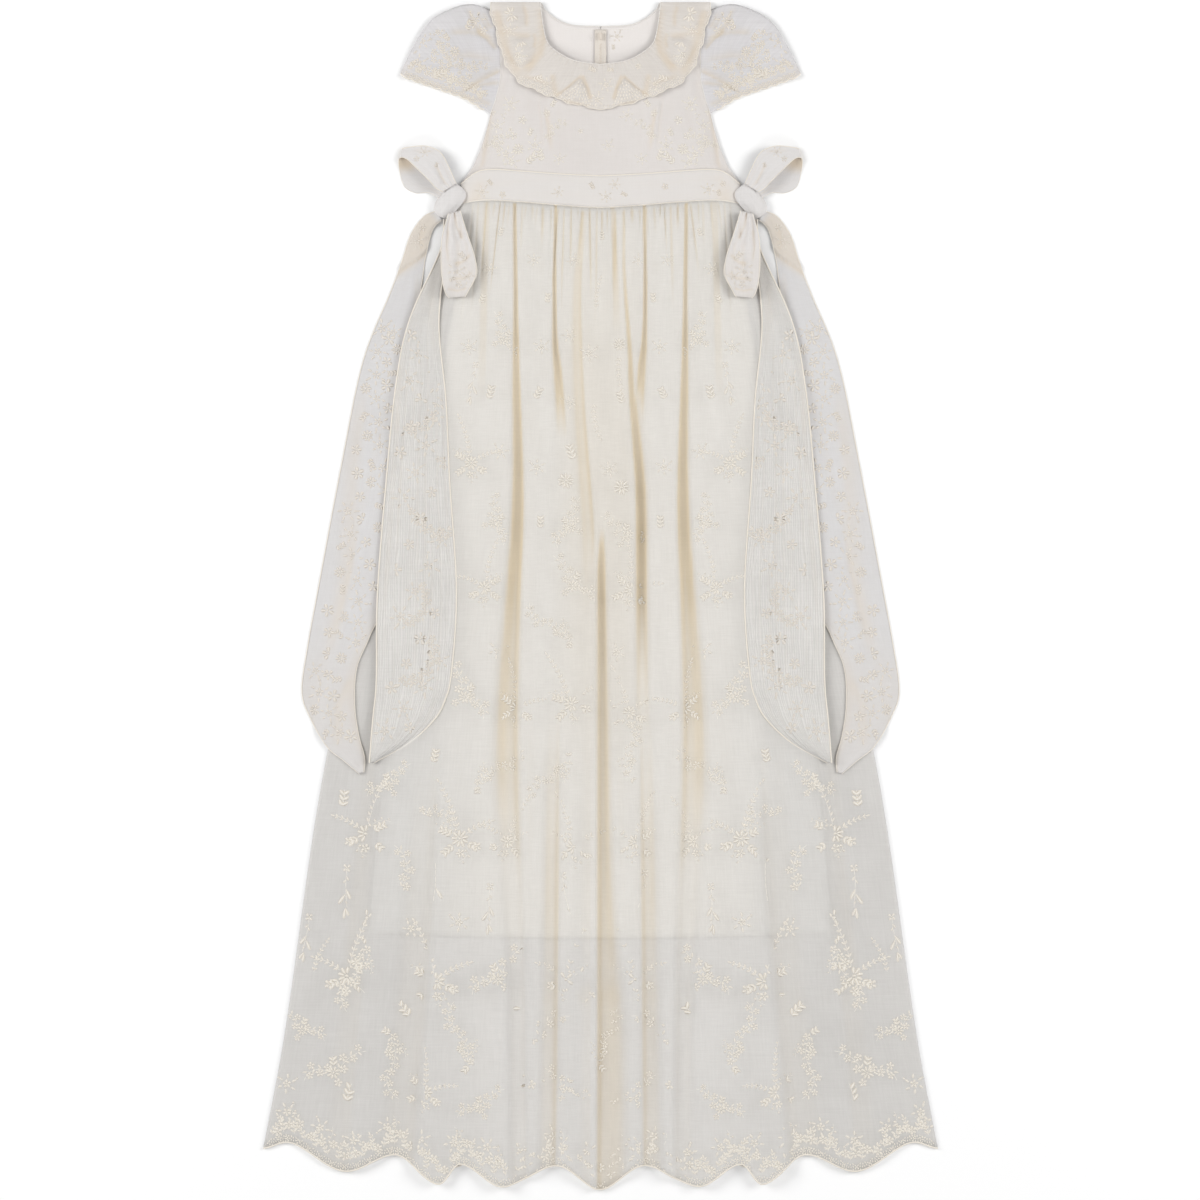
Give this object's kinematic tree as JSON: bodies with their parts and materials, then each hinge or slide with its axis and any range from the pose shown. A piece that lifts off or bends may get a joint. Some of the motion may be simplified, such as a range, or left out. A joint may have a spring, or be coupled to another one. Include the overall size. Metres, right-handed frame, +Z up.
{
  "type": "christening gown",
  "caption": "Long christening gown laid flat: cap sleeves, ruffle collar, side sash bows and a sheer gathered skirt with a scalloped embroidered hem over a lining.",
  "frame": {"origin": "under the middle of the gown, on the surface it lies on", "axes": "+Z up from the surface, +Y towards the neck, +X to the right as seen from the front"},
  "size_m": [0.6066, 1.07, 0.0141],
  "materials": {
    "voile": "matte embroidered cotton voile, slightly sheer, ivory",
    "lining": "matte cotton lawn, white",
    "zip": "woven tape and nylon coil, beige"
  },
  "bodies": {
    "root": {"front_bodice": "voile", "back_bodice_left": "voile", "back_bodice_right": "voile", "front_waistband": "voile", "back_waistband_left": "voile", "back_waistband_right": "voile", "front_skirt": "voile", "back_skirt": "voile", "front_lining": "lining", "back_lining": "lining", "sleeve_left": "voile", "sleeve_right": "voile", "collar_front": "voile", "collar_back_left": "voile", "collar_back_right": "voile", "back_zip": "zip", "zip_slider": "zip", "sash_knot_left": "voile", "sash_knot_right": "voile", "sash_loop_upper_left": "voile", "sash_loop_upper_right": "voile", "sash_loop_lower_left": "voile", "sash_loop_lower_right": "voile", "sash_tail_outer_left": "voile", "sash_tail_outer_right": "voile", "sash_tail_inner_left": "voile", "sash_tail_inner_right": "voile"}
  },
  "joints": []
}
